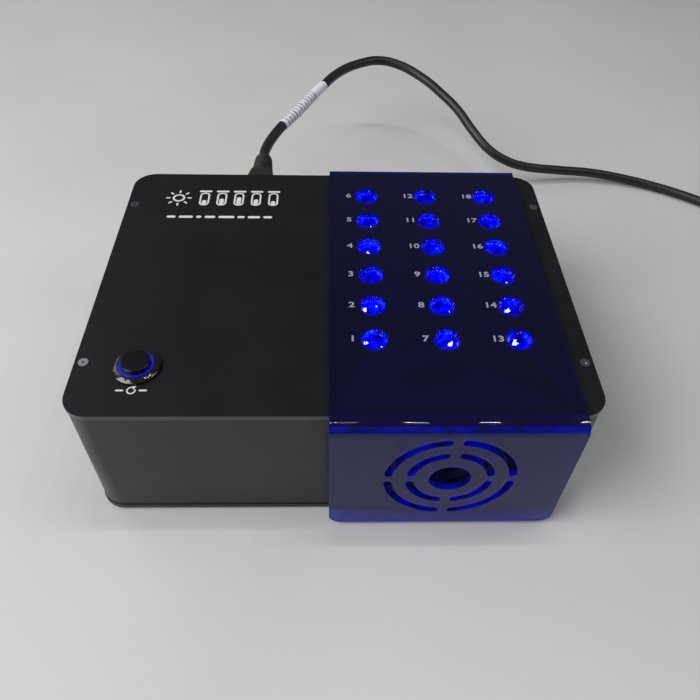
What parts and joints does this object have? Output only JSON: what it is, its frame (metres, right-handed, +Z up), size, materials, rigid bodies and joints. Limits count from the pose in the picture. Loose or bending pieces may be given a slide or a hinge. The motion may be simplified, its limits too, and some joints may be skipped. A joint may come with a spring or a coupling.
{
  "type": "blue light tube illuminator",
  "caption": "Low black bench box that lights sample tubes from below with blue LEDs; bent blue acrylic cover with vents, fan, lit push button and mains lead.",
  "frame": {"origin": "on the table under the middle of the instrument, its lead and plugs left out", "axes": "+X to the instrument's right seen from the front, +Y to its back, +Z up; the cover's vents face -Y"},
  "size_m": [0.5455, 0.3899, 0.0838],
  "materials": {
    "black_enamel": "satin black powder coat",
    "foot_rubber": "matte",
    "black_steel": "blackened",
    "bare_aluminium": "mill finish",
    "white_plastic": "matte",
    "plated_metal": "nickel plated",
    "reflector": "metallised inside",
    "white_board": "white solder mask",
    "blue_light": "lit blue emitter",
    "black_plastic": "moulded",
    "copper_winding": "enamelled copper",
    "green_board": "green solder mask",
    "yellow_tape": "polyester tape",
    "capacitor_sleeve": "shrink sleeve",
    "green_terminal": "moulded",
    "blue_board": "blue solder mask",
    "rocker_plastic": "gloss",
    "black_anodised": "black anodised",
    "gasket_rubber": "matte",
    "ring_light": "lit blue ring",
    "spring_steel": "spring wire",
    "brown_wire": "PVC insulation",
    "red_wire": "PVC insulation",
    "blue_acrylic": "clear blue cast acrylic",
    "cord_rubber": "satin PVC",
    "label_film": "printed wrap label",
    "tie_strap": "hook and loop strap",
    "brass_pins": "brass"
  },
  "bodies": {
    "case": {"case_shell": "black_enamel", "top_plate": "black_enamel", "base_plate": "black_enamel", "rubber_feet": "foot_rubber", "top_screws": "black_steel", "base_screws": "black_steel", "corner_posts": "bare_aluminium", "tube_rack": "white_plastic", "rack_spacers": "plated_metal", "rack_screws": "plated_metal", "reflector_tubes": "reflector", "led_board": "white_board", "led_emitters": "blue_light", "led_board_screws": "plated_metal", "heat_sink": "bare_aluminium", "heat_sink_posts": "plated_metal", "heat_sink_screws": "plated_metal", "fan_frame": "black_plastic", "fan_stator": "copper_winding", "fan_screws": "black_steel", "psu_board": "green_board", "psu_transformer": "yellow_tape", "psu_capacitors": "capacitor_sleeve", "psu_terminals": "green_terminal", "psu_standoffs": "plated_metal", "psu_screws": "plated_metal", "control_board": "blue_board", "control_chips": "black_plastic", "control_sockets": "white_plastic", "control_standoffs": "plated_metal", "control_screws": "plated_metal", "inlet_housing": "black_plastic", "inlet_pins": "plated_metal", "inlet_screws": "plated_metal", "inlet_nuts": "plated_metal", "switch_housing": "black_plastic", "button_bezel": "black_anodised", "button_gasket": "gasket_rubber", "button_nut": "plated_metal", "button_light_ring": "ring_light", "button_spring": "spring_steel", "button_contacts": "black_plastic", "mains_wires": "brown_wire", "signal_wires": "red_wire", "blue_cover": "blue_acrylic", "plug_body": "cord_rubber", "plug_relief": "cord_rubber", "power_cord": "cord_rubber", "cord_label": "label_film", "cord_coil": "cord_rubber", "cord_tie": "tie_strap", "wall_plug": "cord_rubber", "wall_plug_pins": "brass_pins"},
    "fan_rotor": {"fan_rotor": "black_plastic"},
    "button_cap": {"button_cap": "black_anodised"},
    "power_rocker": {"switch_rocker": "rocker_plastic"}
  },
  "joints": [
    {"name": "fan_spin", "type": "hinge", "parent": "case", "child": "fan_rotor", "pos_m": [0.0524, -0.075, 0.0435], "axis": [0, 1, 0], "continuous": true},
    {"name": "button_press", "type": "slide", "parent": "case", "child": "button_cap", "axis": [0, 0, -1], "range_m": [0, 0.0025], "stiffness_N_per_m": 400, "springref_m": -0.001, "deforming": ["button_spring"]},
    {"name": "rocker_tilt", "type": "hinge", "parent": "case", "child": "power_rocker", "pos_m": [-0.091, 0.0938, 0.055], "axis": [1, 0, 0], "range_deg": [-20, 0]}
  ]
}
